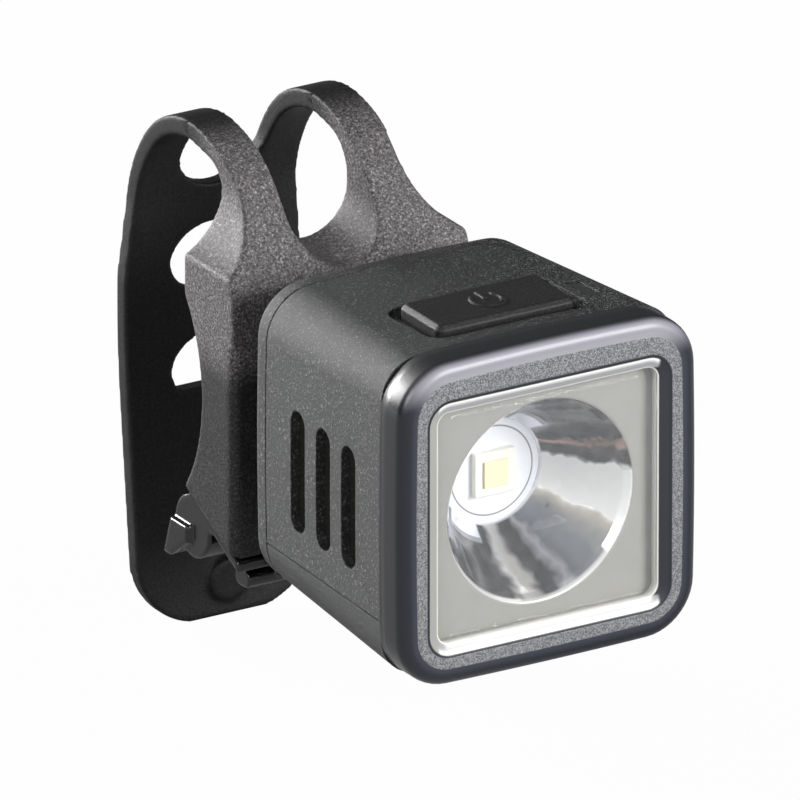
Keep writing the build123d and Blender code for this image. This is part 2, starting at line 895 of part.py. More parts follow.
def arm_gap():
    """Round-bottomed gap between the two arms, open upwards."""
    z0 = saddle_top + arm_gap_drop
    top = saddle_top + bar_diameter
    gap = block(-arm_inner, arm_inner, 0, 2 * bar_y, z0 + arm_inner, top)
    return gap + rod_y(arm_inner, 0, 2 * bar_y, 0, z0 + arm_inner)


def arm_flanks():
    """Material outside the arms, cut away from both sides of the band."""
    z0 = saddle_top + arm_flare_lift
    z1 = z0 + arm_flare_rise
    half = saddle_width / 2
    sag = arm_flare_sag_share * (half - arm_outer)
    middle = ((half + arm_outer) / 2 - sag, (z0 + z1) / 2 - sag)
    flare = ThreePointArc((half, z0), middle, (arm_outer, z1))
    far = saddle_width
    high = saddle_top + bar_diameter
    sides = Polyline((arm_outer, z1), (arm_outer, high), (far, high), (far, z0), (half, z0))
    flank = make_face([flare, *sides.edges()])
    solid = extrude(facing_front(0) * flank, 2 * bar_y, dir=(0, 1, 0))
    return mirrored(solid)


def saddle_block():
    """Rubber block under the arms."""
    half = saddle_width / 2
    back_y = saddle_front_y + saddle_top_length
    corners = [
        (saddle_front_y, saddle_top), (back_y, saddle_top), (back_y, -saddle_bottom),
        (saddle_front_y, -saddle_bottom - saddle_skirt_drop),
    ]
    solid = side_slab(make_face(Polyline(*corners, close=True).edges()), -half, half)
    return fillet(solid.edges().filter_by(Axis.Z).sort_by(Axis.Y)[:2], saddle_rounding)


def make_strap_saddle():
    """Saddle and the front halves of the two arms, one rubber moulding."""
    crest_y, _ = crest()
    half = saddle_width / 2
    front = block(-half, half, 0, crest_y, -saddle_bottom, saddle_top + bar_diameter)
    arms = (make_band() & front) - arm_gap()
    for flank in arm_flanks():
        arms = arms - flank
    seat_radius = bar_diameter / 2 + saddle_slack
    hollow = rod_x(seat_radius, -half, half, seat_y + seat_radius, bar_z)
    solid = saddle_block() + arms - hollow
    plate_half = hook_plate_width / 2 + slide_fit
    plate_y = saddle_front_y + hook_plate_thickness + slide_fit
    solid = solid - block(
        -plate_half, plate_half, saddle_front_y, plate_y,
        -saddle_bottom - saddle_skirt_drop, hook_plate_top + slide_fit,
    )
    head_y = saddle_front_y + hook_plate_thickness
    for x in (-mount_screw_x, mount_screw_x):
        solid = solid - rod_y(mount_screw_head_radius + push_fit, head_y, bar_y, x, mount_screw_z)
    return solid


def ladder_outline():
    """Ladder seen from the front, wider than the arms and round at the foot."""
    half = ladder_width / 2
    top = saddle_top + bar_diameter
    shoulder_z = saddle_top - ladder_shoulder
    foot_z = band_points()[-1][1]
    corners = [
        (-arm_outer, top), (-arm_outer, saddle_top), (-half, shoulder_z), (-half, foot_z),
        (half, foot_z), (half, shoulder_z), (arm_outer, saddle_top), (arm_outer, top),
    ]
    face = make_face(Polyline(*corners, close=True).edges())
    return fillet(face.vertices().sort_by(Axis.Y)[:2], ladder_corner)


def hole_places():
    """Heights of the strap holes."""
    return [first_hole_z - hole_pitch * index for index in range(hole_count)]


def hole_tooth():
    """Anchor-shaped tooth that stands up in the lowest strap hole."""
    top = hole_places()[-1] - tooth_drop
    low = hole_places()[-1] - hole_height
    half = tooth_half_width
    stem = tooth_stem_half_width
    corners = [
        (-half, top), (-half, top - tooth_edge), (-stem, top - tooth_height), (-stem, low),
        (stem, low), (stem, top - tooth_height), (half, top - tooth_edge), (half, top),
    ]
    return make_face(Polyline(*corners, close=True).edges())


def make_strap_ladder():
    """Back halves of the arms and the holed strap that hangs behind."""
    crest_y, _ = crest()
    far = 2 * bar_y
    reach = saddle_top + bar_diameter
    behind = block(-saddle_width, saddle_width, crest_y, far, -reach - bar_diameter, reach)
    outline = extrude(facing_front(crest_y) * ladder_outline(), far - crest_y, dir=(0, 1, 0))
    solid = (make_band() & behind & outline) - arm_gap()
    tooth = solid & extrude(facing_front(crest_y) * hole_tooth(), far - crest_y, dir=(0, 1, 0))
    hole = Ellipse(hole_width / 2, hole_height / 2)
    for z in hole_places():
        cut = facing_front(crest_y) * (Pos(0, z) * hole)
        solid = solid - extrude(cut, far - crest_y, dir=(0, 1, 0))
    tail_y, tail_z = band_points()[-1]
    grip_z = tail_z + grip_lift
    lean = band_tail_length / band_tail_height
    grip_y = tail_y + lean * grip_lift - band_thickness
    grip = rod_y(grip_radius, grip_y - grip_height, grip_y + grip_height, 0, grip_z)
    return solid + tooth + grip


def floor_z(back):
    """Top of the hook's sloping floor, a distance behind the saddle's front."""
    return hook_top_z - saddle_skirt_drop * (1 - back / saddle_top_length)


def floor_outline():
    """Sloping floor of the hook under the saddle, in Y and Z."""
    y0 = saddle_front_y
    y1 = y0 + saddle_top_length
    corners = [
        (y0, floor_z(0)), (y1, hook_top_z), (y1, hook_top_z - hook_floor_thickness),
        (y0, floor_z(0) - hook_floor_thickness),
    ]
    return make_face(Polyline(*corners, close=True).edges())


def cheek_web_outline():
    """Web that joins a round cheek to the floor of the hook, in Y and Z."""
    y0 = saddle_front_y
    corners = [
        (y0 + cheek_front, floor_z(cheek_front)), (y0 + saddle_top_length, hook_top_z),
        (y0 + cheek_back, hook_top_z - cheek_drop),
    ]
    return make_face(Polyline(*corners, close=True).edges())


def lip_outline():
    """Flared lip that turns down behind a round cheek, in Y and Z."""
    disc_y = saddle_front_y + cheek_back
    disc_z = hook_top_z - cheek_drop
    back_y = disc_y + cheek_radius
    foot_z = disc_z - lip_height
    corners = [
        (disc_y, disc_z - cheek_radius / 2), (disc_y, disc_z), (back_y, disc_z),
        (back_y + lip_thickness, foot_z), (back_y, foot_z),
    ]
    return make_face(Polyline(*corners, close=True).edges())


def make_strap_hook():
    """Hard plate under the saddle, with round cheeks and the tongue for the holes."""
    half_plate = hook_plate_width / 2
    plate_y = saddle_front_y + hook_plate_thickness
    plate = block(
        -half_plate, half_plate, saddle_front_y, plate_y,
        floor_z(0) - hook_floor_thickness, hook_plate_top,
    )
    outer = (saddle_width - bracket_rounding) / 2
    inner = outer - cheek_thickness
    hook = plate + side_slab(floor_outline(), -outer, outer)
    disc_y = saddle_front_y + cheek_back
    disc = rod_x(cheek_radius, inner, outer, disc_y, hook_top_z - cheek_drop)
    for piece in mirrored(disc + side_slab(cheek_web_outline(), inner, outer)):
        hook = hook + piece
    for piece in mirrored(side_slab(lip_outline(), inner, outer + lip_flare)):
        hook = hook + piece
    stem_y = saddle_front_y + tongue_back
    half_tongue = tongue_width / 2
    root_z = floor_z(tongue_back)
    foot_z = root_z - hook_floor_thickness - tongue_drop
    hook = hook + block(
        -half_tongue, half_tongue, stem_y, stem_y + tongue_thickness, foot_z, root_z
    )
    hook = hook + block(
        -half_tongue, half_tongue, stem_y - tongue_reach, stem_y, foot_z, foot_z + tongue_thickness
    )
    for x in (-mount_screw_x, mount_screw_x):
        hole = rod_y(mount_screw_radius + push_fit, saddle_front_y, plate_y, x, mount_screw_z)
        hook = hook - hole
    return hook


def make_mount_screws():
    """Two screws that hold the hook plate and the saddle to the bracket."""
    head_y = saddle_front_y + hook_plate_thickness
    rail_y = head_back_y + rail_neck_depth + rail_depth + slide_fit
    return [
        pan_screw(
            mount_screw_radius, mount_screw_head_radius, mount_screw_head_height,
            head_y, head_y - rail_y - push_fit, x, mount_screw_z,
        )
        for x in (-mount_screw_x, mount_screw_x)
    ]


def make_led_board():
    """White aluminium-backed board behind the bowl."""
    return rod_y(led_board_radius, led_board_y, heat_sink_y)


def centred_tile(width, y0, y1):
    """Square tile on the beam axis."""
    return block(-width / 2, width / 2, y0, y1, -width / 2, width / 2)


def make_heat_sink():
    """Aluminium plate behind the light source's board."""
    half = heat_sink_width / 2
    y1 = heat_sink_y + heat_sink_thickness
    plate = block(-half, half, heat_sink_y, y1, -heat_sink_bottom, heat_sink_top)
    for x, z in sink_post_places():
        plate = plate - rod_y(sink_screw_radius + push_fit, heat_sink_y, y1, x, z)
    return plate


def make_sink_screws():
    """Four small screws that hold the heat sink to the bulkhead's posts."""
    head_y = heat_sink_y + heat_sink_thickness
    return [
        pan_screw(
            sink_screw_radius, sink_screw_head_radius, sink_screw_head_height,
            head_y, heat_sink_thickness + sink_screw_bite, x, z,
        )
        for x, z in sink_post_places()
    ]


def make_indicator():
    """Light pipe that fills the oval in the top."""
    z1 = body_top_z(button_centre_y) + overrun
    pipe = upright(indicator_outline(0), board_top_z + status_led_height + push_fit, z1)
    return pipe & body_solid(indicator_sink, seam_y, cap_joint_y)


def make_boards_and_leads():
    """Main board, charging board, flex strip and the short leads, by name."""
    half = board_width / 2
    back_y = cap_joint_y - corner_post_length
    board = block(-half, half, board_y0, back_y, board_height, board_top_z)
    charge_half = charge_board_width / 2
    charge_top = charge_board_z + charge_board_thickness
    charge = block(
        -charge_half, charge_half, charge_board_front, charge_board_front + charge_board_length,
        charge_board_z, charge_top,
    )
    flex_x = charge_half - flex_thickness
    flex_y = charge_board_front + charge_board_length - flex_width
    flex = block(
        flex_x - flex_thickness, flex_x, flex_y, flex_y + flex_width, charge_top, board_height
    )
    battery_top = battery_lift + battery_height / 2
    battery_middle = battery_y0 + battery_length / 2
    battery_leads = [
        rod_z(lead_radius, battery_top, board_height, x, battery_middle)
        for x in (-battery_lead_x, battery_lead_x)
    ]
    edge_z = math.sqrt(led_board_radius ** 2 - (led_lead_x - lead_radius) ** 2)
    lead_y = led_board_y + led_board_thickness / 2
    led_leads = [
        rod_z(lead_radius, edge_z, board_height, x, lead_y) for x in (-led_lead_x, led_lead_x)
    ]
    return {
        "main_board": board,
        "charge_board": charge,
        "board_flex": flex,
        "battery_leads": battery_leads,
        "led_leads": led_leads,
    }


def make_status_led():
    """Small lamp on the main board under the light pipe."""
    half = status_led_width / 2
    return block(
        indicator_x - half, indicator_x + half, button_centre_y - half, button_centre_y + half,
        board_top_z, board_top_z + status_led_height,
    )


battery_back_y = battery_y0 + battery_length
pieces = {
    "front_lens": make_lens(),
    "lens_seal": make_seal(),
    "reflector": make_reflector(),
    "led_phosphor": centred_tile(
        led_phosphor_width,
        led_board_y - led_package_height - led_phosphor_height,
        led_board_y - led_package_height,
    ),
    "led_package": centred_tile(
        led_package_width, led_board_y - led_package_height, led_board_y
    ),
    "led_board": make_led_board(),
    "heat_sink": make_heat_sink(),
    "heat_sink_screws": make_sink_screws(),
    "main_housing": make_housing(),
    "bottom_cover": make_bottom_cover(),
    "rear_cap": make_rear_cap(),
    "rear_cap_screws": make_cap_screws(),
    "power_button": make_power_button(),
    "switch_plunger": make_plunger(),
    "switch_case": make_switch(),
    "indicator_lens": make_indicator(),
    "status_led": make_status_led(),
    "side_window_right": make_side_window(False),
    "side_window_left": make_side_window(True),
    "battery": make_battery(),
    "front_foam_pad": make_pad(heat_sink_y + heat_sink_thickness, battery_y0),
    "rear_foam_pad": make_pad(battery_back_y, cap_joint_y + seam_gap),
    "charge_socket": make_socket(),
    "port_cover": make_port_cover(),
    "mount_bracket": make_bracket(),
    "latch_pin": make_latch_pin(),
    "release_latch": make_latch(),
    "strap_saddle": make_strap_saddle(),
    "strap_ladder": make_strap_ladder(),
    "strap_hook": make_strap_hook(),
    "mount_screws": make_mount_screws(),
    **make_boards_and_leads(),
}

os.makedirs("parts", exist_ok=True)
to_bar_axis = Pos(0, -bar_y, -bar_z)
for name, piece in pieces.items():
    solids = piece if isinstance(piece, list) else [piece]
    shape = Compound([solid for item in solids for solid in (to_bar_axis * item).solids()])
    export_step(shape, f"parts/{name}.step")

crest_y, crest_z = crest()
print("strap hinge", round(crest_y - bar_y, 3), round(crest_z - bar_z, 3))
print("flap hinge", round(flap_hinge_y - bar_y, 3), round(flap_hinge_z() - bar_z, 3))
print("latch pin", round(pin_y - bar_y, 3), round(pin_z - bar_z, 3))
print("window face", round(lens_front_y + window_sink - bar_y, 3), round(-bar_z, 3))
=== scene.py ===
import bmesh
import bpy
import numpy as np
from mathutils import Matrix, Vector


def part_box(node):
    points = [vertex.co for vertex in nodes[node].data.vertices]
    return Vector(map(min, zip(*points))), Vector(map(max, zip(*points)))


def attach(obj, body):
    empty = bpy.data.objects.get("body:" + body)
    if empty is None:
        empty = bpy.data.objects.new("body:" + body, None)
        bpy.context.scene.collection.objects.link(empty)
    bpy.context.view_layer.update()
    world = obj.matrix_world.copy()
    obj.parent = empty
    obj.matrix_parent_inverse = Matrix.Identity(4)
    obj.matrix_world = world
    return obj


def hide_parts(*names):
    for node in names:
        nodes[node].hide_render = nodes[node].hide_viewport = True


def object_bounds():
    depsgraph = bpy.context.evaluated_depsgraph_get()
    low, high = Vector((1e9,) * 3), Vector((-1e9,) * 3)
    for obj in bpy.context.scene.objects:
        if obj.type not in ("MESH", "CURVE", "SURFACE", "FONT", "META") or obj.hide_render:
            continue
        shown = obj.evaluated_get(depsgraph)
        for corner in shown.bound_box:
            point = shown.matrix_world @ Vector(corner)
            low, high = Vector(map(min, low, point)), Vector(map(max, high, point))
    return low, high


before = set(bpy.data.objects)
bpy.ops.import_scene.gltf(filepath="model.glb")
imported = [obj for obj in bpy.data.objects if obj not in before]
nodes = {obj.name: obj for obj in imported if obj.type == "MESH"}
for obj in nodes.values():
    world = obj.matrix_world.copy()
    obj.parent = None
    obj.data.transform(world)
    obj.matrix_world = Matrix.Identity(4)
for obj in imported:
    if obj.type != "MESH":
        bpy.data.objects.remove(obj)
cad_low, cad_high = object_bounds()
mm = 0.001

# The viewpoint: a very long lens from the light's front left and above it, 3.3 m away.
# Much farther off, the other views would fall past their far clipping distance.
photo_width = 800.0
pixels_per_mm = 10.51
sensor_width = 36.0
distance = 3.3
view_right = Vector((0.8563, -0.5166, 0.0))
view_up = Vector((0.1940, 0.3216, 0.9267))
view_back = view_right.cross(view_up).normalized()
middle = (Vector((0.0, -26.0, -2.0)) + view_right * 2.483 + view_up * 2.521) * mm
lens_data = bpy.data.cameras.new("camera")
lens_data.sensor_width = sensor_width
lens_data.lens = pixels_per_mm / mm * distance * sensor_width / photo_width
lens_data.clip_start, lens_data.clip_end = 0.05, 20.0
camera = bpy.data.objects.new("camera", lens_data)
camera.matrix_world = Matrix.Translation(middle + view_back * distance) @ Matrix(
    (view_right, view_up, view_back)
).transposed().to_4x4()
bpy.context.scene.collection.objects.link(camera)
bpy.context.scene.camera = camera
bpy.context.scene.view_settings.view_transform = "Standard"


# The studio: a white surround that metal and clear plastic show too, darker behind the
# object, and three large soft lamps: left, front right, and behind at the left.
class Value:
    """One shader socket. Arithmetic on it adds Math nodes."""

    def __init__(self, finish, socket):
        self.finish, self.socket = finish, socket

    def maths(self, operation, *others):
        """A Math node with this value first."""
        return self.finish.node(
            "ShaderNodeMath", {"operation": operation}, dict(enumerate((self, *others)))
        )

    def __add__(self, other):
        return self.maths("ADD", other)

    def __sub__(self, other):
        return self.maths("SUBTRACT", other)

    def __rsub__(self, other):
        return self.finish.node("ShaderNodeMath", {"operation": "SUBTRACT"}, {0: other, 1: self})

    def __mul__(self, other):
        return self.maths("MULTIPLY", other)

    def __truediv__(self, other):
        return self.maths("DIVIDE", other)

    def rise(self, low, high):
        """0 below low, 1 above high, smooth between."""
        return self.finish.node(
            "ShaderNodeMapRange", {"interpolation_type": "SMOOTHSTEP"}, {0: self, 1: low, 2: high}
        )

    def size(self):
        return self.maths("ABSOLUTE")


def tint(red, green, blue):
    """Screen colour, 0 to 255, as the linear colour that a shader takes."""
    screen = np.array([red, green, blue]) / 255
    linear = np.where(screen <= 0.04045, screen / 12.92, ((screen + 0.055) / 1.055) ** 2.4)
    return (*linear, 1.0)


class Sheet:
    """The nodes of one world or material."""

    def __init__(self, owner):
        owner.use_nodes = True
        self.tree = owner.node_tree
        self.tree.nodes.clear()

    def node(self, kind, settings, sockets, output=0):
        made = self.tree.nodes.new(kind)
        for name, setting in settings.items():
            setattr(made, name, setting)
        for name, value in sockets.items():
            if isinstance(value, Value):
                self.tree.links.new(value.socket, made.inputs[name])
            else:
                made.inputs[name].default_value = value
        return Value(self, made.outputs[output]) if made.outputs else made

    def blend(self, share, low, high):
        """Colour low where share is 0, high where it is 1."""
        return self.node("ShaderNodeMix", {"data_type": "RGBA"}, {0: share, 6: low, 7: high}, 2)

    def axes(self, coordinates):
        """X, Y and Z of a vector as three values."""
        parts = self.node("ShaderNodeSeparateXYZ", {}, {0: coordinates}).socket.node
        return [Value(self, socket) for socket in parts.outputs]


surround = bpy.data.worlds.new("surround")
bpy.context.scene.world = surround
sky = Sheet(surround)
direction = sky.node("ShaderNodeTexCoord", {}, {}, "Generated")
backward = sky.axes(direction)[1]
rays = sky.tree.nodes.new("ShaderNodeLightPath")
seen, mirrored, through = [
    Value(sky, rays.outputs[name]) for name in ("Is Camera Ray", "Is Glossy Ray", "Is Transmission Ray")
]
dark_share_behind = 0.93
plain_level = 0.07
mirror_level = 1 - backward.rise(-0.75, 0.25) * dark_share_behind
level = (seen + through).maths("MINIMUM", 1.0)
level = level.maths("MAXIMUM", mirrored * mirror_level)
level = level.maths("MAXIMUM", plain_level)
light = sky.node("ShaderNodeBackground", {}, {0: (1, 1, 1, 1), 1: level})
sky.node("ShaderNodeOutputWorld", {}, {0: light})


lamp_target = Vector((0.0, -0.03, 0.0))


def lamp(name, place, size, power):
    """Square soft lamp at a place in metres, turned to the light, with a power in watts."""
    data = bpy.data.lights.new(name, "AREA")
    data.shape, data.size, data.energy = "SQUARE", size, power
    made = bpy.data.objects.new(name, data)
    made.location = place
    made.rotation_euler = (lamp_target - Vector(place)).to_track_quat("-Z", "Y").to_euler()
    bpy.context.scene.collection.objects.link(made)


lamp("left_lamp", (-0.70, -0.30, 0.45), 0.35, 3.2)
lamp("right_lamp", (0.36, -0.76, 0.30), 0.40, 10.0)
lamp("back_lamp", (-0.34, 0.74, 0.22), 0.35, 15.0)

floor_half = 6.0
floor_gap = 0.2 * mm
floor_mesh = bpy.data.meshes.new("floor")
floor_corners = [
    (x * floor_half, y * floor_half, cad_low.z - floor_gap) for x, y in ((-1, -1), (1, -1), (1, 1), (-1, 1))
]
floor_mesh.from_pydata(floor_corners, [], [range(len(floor_corners))])
floor = bpy.data.objects.new("floor", floor_mesh)
bpy.context.scene.collection.objects.link(floor)
paper = bpy.data.materials.new("paper")
floor_mesh.materials.append(paper)
sheet = Sheet(paper)
rays = sheet.tree.nodes.new("ShaderNodeLightPath")
seen = Value(sheet, rays.outputs["Is Camera Ray"])
paper_shade = (0.4, 0.4, 0.4, 1.0)
white_share = 0.98
matt = sheet.node("ShaderNodeBsdfDiffuse", {}, {0: paper_shade})
bright = sheet.node("ShaderNodeEmission", {}, {0: (1, 1, 1, 1), 1: 1.0})
mixed = sheet.node("ShaderNodeMixShader", {}, {0: seen * white_share, 1: matt, 2: bright})
sheet.node("ShaderNodeOutputMaterial", {}, {0: mixed})


# The light source: a small square package with a yellow phosphor on a white round
# board, screwed with its aluminium heat sink to four posts behind the bowl.
class Finish(Sheet):
    """A material round one Principled shader, with Object coordinates in millimetres."""

    def __init__(self, name, colour, roughness, metallic=0.0, **fixed):
        self.material = bpy.data.materials.new(name)
        super().__init__(self.material)
        self.shader = self.tree.nodes.new("ShaderNodeBsdfPrincipled")
        self.node("ShaderNodeOutputMaterial", {}, {0: Value(self, self.shader.outputs[0])})
        inputs = {"Base Color": colour, "Roughness": roughness, "Metallic": metallic}
        for socket, value in {**inputs, **fixed}.items():
            self.feed(socket, value)
        metres = self.node("ShaderNodeTexCoord", {}, {}, "Object")
        self.place = self.node("ShaderNodeVectorMath", {"operation": "SCALE"}, {0: metres, 3: 1000.0})

    def feed(self, socket, value):
        if isinstance(value, Value):
            self.tree.links.new(value.socket, self.shader.inputs[socket])
        else:
            self.shader.inputs[socket].default_value = value

    def grain(self, scale, detail=3.0, roughness=0.6):
        """Soft noise, about 0 to 1, with scale lumps to the millimetre."""
        sockets = {"Vector": self.place, "Scale": scale, "Detail": detail, "Roughness": roughness}
        return self.node("ShaderNodeTexNoise", {}, sockets)

    def relief(self, height, depth, round_edge=0.0):
        """Bump of a height map, depth in millimetres, over edges rounded by a radius."""
        sockets = {"Height": height, "Distance": depth * mm, "Strength": 1.0}
        if round_edge:
            sockets["Normal"] = self.node("ShaderNodeBevel", {"samples": 4}, {0: round_edge * mm})
        self.feed("Normal", self.node("ShaderNodeBump", {}, sockets))


def dress(finish, *names):
    """Gives CAD nodes one material."""
    for name in names:
        nodes[name].data.materials.clear()
        nodes[name].data.materials.append(finish.material)


# The beam's axis lies at this height, and the bowl's mouth at this station, in millimetres.
reflector_low, reflector_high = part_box("reflector")
beam_y = reflector_low.y / mm
beam_z = (reflector_low.z + reflector_high.z) / 2 / mm

phosphor = Finish("phosphor", tint(238, 234, 190), 0.45)
phosphor.relief(phosphor.grain(9.0), 0.01, 0.15)
dress(phosphor, "led_phosphor")
ceramic = Finish("ceramic", tint(236, 234, 224), 0.35)
ceramic.relief(ceramic.grain(5.0), 0.01, 0.12)
dress(ceramic, "led_package")

board_ring_radius = 4.5
mask = Finish("white_mask", tint(232, 234, 240), 0.3)
across, _, up = mask.axes(mask.place)
up = up - beam_z
off_axis = (across * across + up * up).maths("SQRT")
ring = 1 - (off_axis - board_ring_radius).size().rise(0.04, 0.12)
mask.feed("Base Color", mask.blend(ring * 0.85, tint(232, 234, 240), tint(92, 94, 100)))
mask.relief(mask.grain(3.0), 0.01)
dress(mask, "led_board")

sheet_metal = Finish("pressed_aluminium", tint(196, 197, 199), 0.35, 1.0)
sheet_metal.relief(sheet_metal.grain(4.0), 0.02, 0.1)
dress(sheet_metal, "heat_sink", "charge_socket", "switch_case")
zinc = Finish("zinc_screw", tint(150, 151, 154), 0.3, 1.0)
zinc.relief(zinc.grain(6.0), 0.01, 0.1)
dress(zinc, "heat_sink_screws", "rear_cap_screws", "mount_screws", "latch_pin")


# The reflector: one metallised moulding, a satin square flange round a polished bowl.
# It sits in the front of the housing, behind the lens.
def skin(name, grid, body, round_rows=False, attributes=()):
    """Mesh of a grid of points (rows, columns, 3) in millimetres, closed round its columns,
    and round its rows if asked. Quads join each point to its next row and next column."""
    rows, columns = grid.shape[:2]
    numbers = np.arange(rows * columns).reshape(rows, columns)
    below = np.roll(numbers, -1, 0) if round_rows else numbers[1:]
    here = numbers if round_rows else numbers[:-1]
    quads = np.stack([here, np.roll(here, -1, 1), np.roll(below, -1, 1), below], -1).reshape(-1, 4)
    mesh = bpy.data.meshes.new(name)
    mesh.from_pydata((grid.reshape(-1, 3) * mm).tolist(), [], quads.tolist())
    for label, values in attributes:
        mesh.attributes.new(label, "FLOAT", "POINT").data.foreach_set(
            "value", np.broadcast_to(values, grid.shape[:2]).astype(np.float32).ravel()
        )
    whole = bmesh.new()
    whole.from_mesh(mesh)
    bmesh.ops.recalc_face_normals(whole, faces=whole.faces)
    whole.to_mesh(mesh)
    whole.free()
    mesh.shade_smooth()
    made = bpy.data.objects.new(name, mesh)
    bpy.context.scene.collection.objects.link(made)
    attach(made, body)
    return made


def square_ring(half_width, top, bottom, corner, bows=(0.0, 0.0, 0.0), corner_steps=12, side_steps=12):
    """X and Z round a rounded square: four quarter arcs joined by straight runs, then each
    side pushed out by a bow times one minus the square of the way along it."""
    x1, z1, z0 = half_width - bows[0] - corner, top - bows[1] - corner, bows[2] - bottom + corner
    centres = [(x1, z1), (-x1, z1), (-x1, z0), (x1, z0)]
    arcs = []
    for quarter, (x, z) in enumerate(centres):
        turn = np.linspace(0, np.pi / 2, corner_steps) + quarter * np.pi / 2
        arcs.append(np.stack([x + corner * np.cos(turn), z + corner * np.sin(turn)], -1))
    runs = []
    for arc, after in zip(arcs, arcs[1:] + arcs[:1]):
        share = np.linspace(0, 1, side_steps + 2)[1:-1, None]
        runs += [arc, arc[-1] * (1 - share) + after[0] * share]
    ring = np.concatenate(runs)
    x, z = ring[:, 0], ring[:, 1]
    high = np.where(z > 0, z / (z1 + corner), z / (z0 - corner))
    wide = x / (x1 + corner)
    x = x + np.sign(x) * bows[0] * (1 - high ** 2)
    z = z + np.where(z > 0, bows[1], -bows[2]) * (1 - wide ** 2)
    return np.stack([x, z], -1)


def at_station(outline, y):
    """X and Z about the beam's axis as points at a station, in millimetres."""
    return np.stack([outline[:, 0], np.full(len(outline), y), outline[:, 1] + beam_z], -1)


# The bowl's line runs from its mouth to its base as a curve of radius and depth, with a
# small rounded lip in front; the flange is flat, with a short turned edge.
mouth, base, depth, lip = 10.0, 5.2, 8.9, 0.4
base_end_share = 0.06
flange = square_ring(12.7, 12.3, 12.3, 1.2)
flange_steps = 12
wall, wall_depth = 0.8, 0.25
angle = np.arctan2(flange[:, 1], flange[:, 0])
circle = np.stack([np.cos(angle), np.sin(angle)], -1)
share = np.linspace(1, base_end_share, 40)
bend = mouth * depth / (mouth + base)
bowl_depths = 2 * share * (1 - share) * bend + share ** 2 * depth
bowl_line = np.stack([mouth - (mouth - base) * share, bowl_depths], -1)
turn = np.linspace(0.25, np.pi / 2, 6)
lip_line = np.stack([mouth + 0.45 - lip * np.cos(turn), lip - lip * np.sin(turn)], -1)
inner_line = np.concatenate([bowl_line, lip_line])
back_line = bowl_line[::-1] + [wall, wall_depth]
rim = inner_line[-1, 0] * circle

bowl_rows = [at_station(radius * circle, beam_y + back) for radius, back in inner_line]
plate_rows = [
    at_station(rim * (1 - step) + flange * step, beam_y) for step in np.linspace(0.03, 1, flange_steps)
]
edge_rows = [
    at_station(outline, beam_y + back) for outline, back in ((flange, 0.15), (flange, 1.2), (rim * 1.08, 1.2))
]
back_rows = [at_station(radius * circle, beam_y + back) for radius, back in back_line]
reflector = skin(
    "reflector_moulding", np.stack(bowl_rows + plate_rows + edge_rows + back_rows), "light", round_rows=True
)
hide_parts("reflector")

chrome = Finish("metallised", tint(226, 226, 224), 0.05, 1.0)
across, _, up = chrome.axes(chrome.place)
up = up - beam_z
radius = (across * across + up * up).maths("SQRT")
polar = up.maths("ARCTAN2", across)
wander = chrome.grain(0.35, 2.0) - 0.5
turned = polar + wander * 0.35
# The reflection painted on the bowl: what it mirrors, by the angle round the beam in radians.
stops = [
    (-2.95, (60, 60, 60)), (-2.7, (34, 33, 32)), (-2.35, (28, 27, 26)), (-2.2, (120, 120, 118)),
    (-2.1, (30, 29, 28)), (-1.85, (24, 23, 22)), (-1.72, (226, 226, 224)), (-1.6, (210, 210, 208)),
    (-1.5, (40, 39, 38)), (-1.32, (30, 30, 31)), (-1.2, (196, 198, 204)), (-1.1, (116, 121, 130)),
    (-0.8, (138, 142, 148)), (-0.62, (176, 176, 172)), (-0.5, (205, 200, 186)), (-0.42, (252, 252, 252)),
    (0.12, (250, 250, 250)), (0.16, (36, 33, 32)), (0.34, (48, 40, 38)), (0.4, (180, 150, 140)),
    (0.44, (44, 42, 40)), (0.6, (38, 39, 38)), (0.72, (128, 134, 130)), (0.84, (52, 54, 53)),
    (0.92, (40, 40, 39)), (1.25, (34, 33, 32)), (1.35, (92, 92, 92)), (1.5, (38, 37, 36)),
    (1.8, (210, 210, 210)), (2.6, (225, 225, 224)),
]
ramp = chrome.tree.nodes.new("ShaderNodeValToRGB")
bands = ramp.color_ramp.elements
while len(bands) < len(stops):
    bands.new(0.5)
for band, (turn_at, colour) in zip(bands, stops):
    band.position, band.color = (turn_at + np.pi) / (2 * np.pi), tint(*colour)
chrome.tree.links.new(((turned + np.pi) / (2 * np.pi)).socket, ramp.inputs[0])
reflected = Value(chrome, ramp.outputs[0])
# Round the base the moulding is clear white, with two lobes.
base_rim, lobe_rim = 5.4, 6.6
upper_lobe, lower_lobe = 0.98, -2.25
lobes = 1 - (polar - upper_lobe).size().rise(0.24, 0.3) * (polar - lower_lobe).size().rise(0.3, 0.36)
lobes = lobes * (1 - radius.rise(lobe_rim - 0.1, lobe_rim + 0.1))
base_ring = (1 - radius.rise(base_rim - 0.05, base_rim + 0.05)).maths("MAXIMUM", lobes)
lobe_line = lobes * radius.rise(6.25, 6.35)
moulded = chrome.blend(lobe_line * 0.7, tint(236, 238, 246), tint(70, 72, 78))
reflected = chrome.blend(base_ring, reflected, moulded)
satin = radius.rise(10.15, 10.3)
# Painted highlight: a white band round the lower half of the bowl's lip.
lip_highlight = (1 - (radius - 10.2).size().rise(0.1, 0.35)) * (1 - up.rise(-6.0, 0.0))
bowl_colour = chrome.blend(lip_highlight, reflected, tint(250, 250, 248))
flange_colour = chrome.blend(chrome.grain(0.25) * 0.5, tint(146, 145, 139), tint(136, 135, 129))
chrome.feed("Base Color", chrome.blend(satin, bowl_colour, flange_colour))
# Where the painted reflection is white, the bowl is rougher and less metallic so that this white shows.
lit_sector = 1 - (turned + 0.16).size().rise(0.25, 0.3)
chrome.feed("Roughness", satin * 0.5 + 0.06 + lit_sector * (1 - satin) * 0.35)
chrome.feed("Metallic", (0.55 - lit_sector * 0.45) * (1 - satin) + satin * 0.25)
chrome.relief(chrome.grain(1.2), 0.02)
reflector.data.materials.append(chrome.material)
